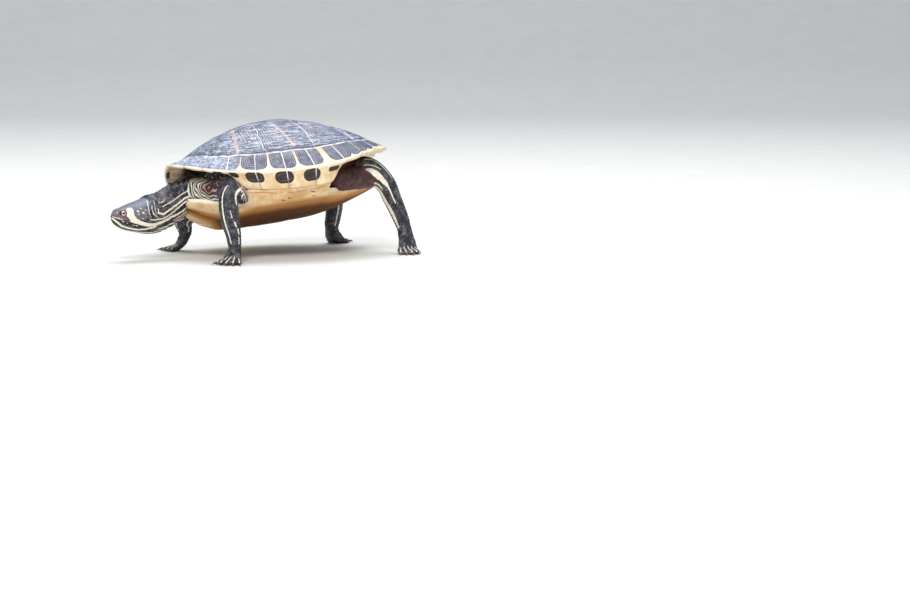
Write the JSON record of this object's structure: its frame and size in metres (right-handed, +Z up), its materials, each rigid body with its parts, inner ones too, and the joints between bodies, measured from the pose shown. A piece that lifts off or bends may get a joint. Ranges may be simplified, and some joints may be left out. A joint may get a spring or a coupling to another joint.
{
  "type": "yellow-bellied slider turtle",
  "caption": "Life-size still model of a slider turtle standing on its four feet, with its neck stretched forward, a domed scuted shell and a pale plastron.",
  "frame": {"origin": "on the floor, under the middle of the animal's bounding box", "axes": "+X from the head towards the tail, +Y towards the animal's right side, +Z up"},
  "size_m": [0.3138, 0.1886, 0.1393],
  "materials": {
    "carapace_horn": "satin, dusky blue-grey scutes with pale seams",
    "plastron_horn": "satin, cream to orange-tan",
    "skin": "fine scales, near-black with thin cream stripes",
    "eye": "wet gloss",
    "claw_horn": "polished dark horn"
  },
  "bodies": {
    "root": {"carapace": "carapace_horn", "plastron": "plastron_horn", "trunk": "skin", "neck": "skin", "head": "skin", "tail": "skin", "foreleg_left": "skin", "foreleg_right": "skin", "hind_leg_left": "skin", "hind_leg_right": "skin", "forefoot_left": "skin", "forefoot_right": "skin", "hind_foot_left": "skin", "hind_foot_right": "skin", "eye_left": "eye", "eye_right": "eye", "forefoot_left_claw_1": "claw_horn", "forefoot_left_claw_2": "claw_horn", "forefoot_left_claw_3": "claw_horn", "forefoot_left_claw_4": "claw_horn", "forefoot_left_claw_5": "claw_horn", "forefoot_right_claw_1": "claw_horn", "forefoot_right_claw_2": "claw_horn", "forefoot_right_claw_3": "claw_horn", "forefoot_right_claw_4": "claw_horn", "forefoot_right_claw_5": "claw_horn", "hind_foot_left_claw_1": "claw_horn", "hind_foot_left_claw_2": "claw_horn", "hind_foot_left_claw_3": "claw_horn", "hind_foot_left_claw_4": "claw_horn", "hind_foot_right_claw_1": "claw_horn", "hind_foot_right_claw_2": "claw_horn", "hind_foot_right_claw_3": "claw_horn", "hind_foot_right_claw_4": "claw_horn"}
  },
  "joints": []
}
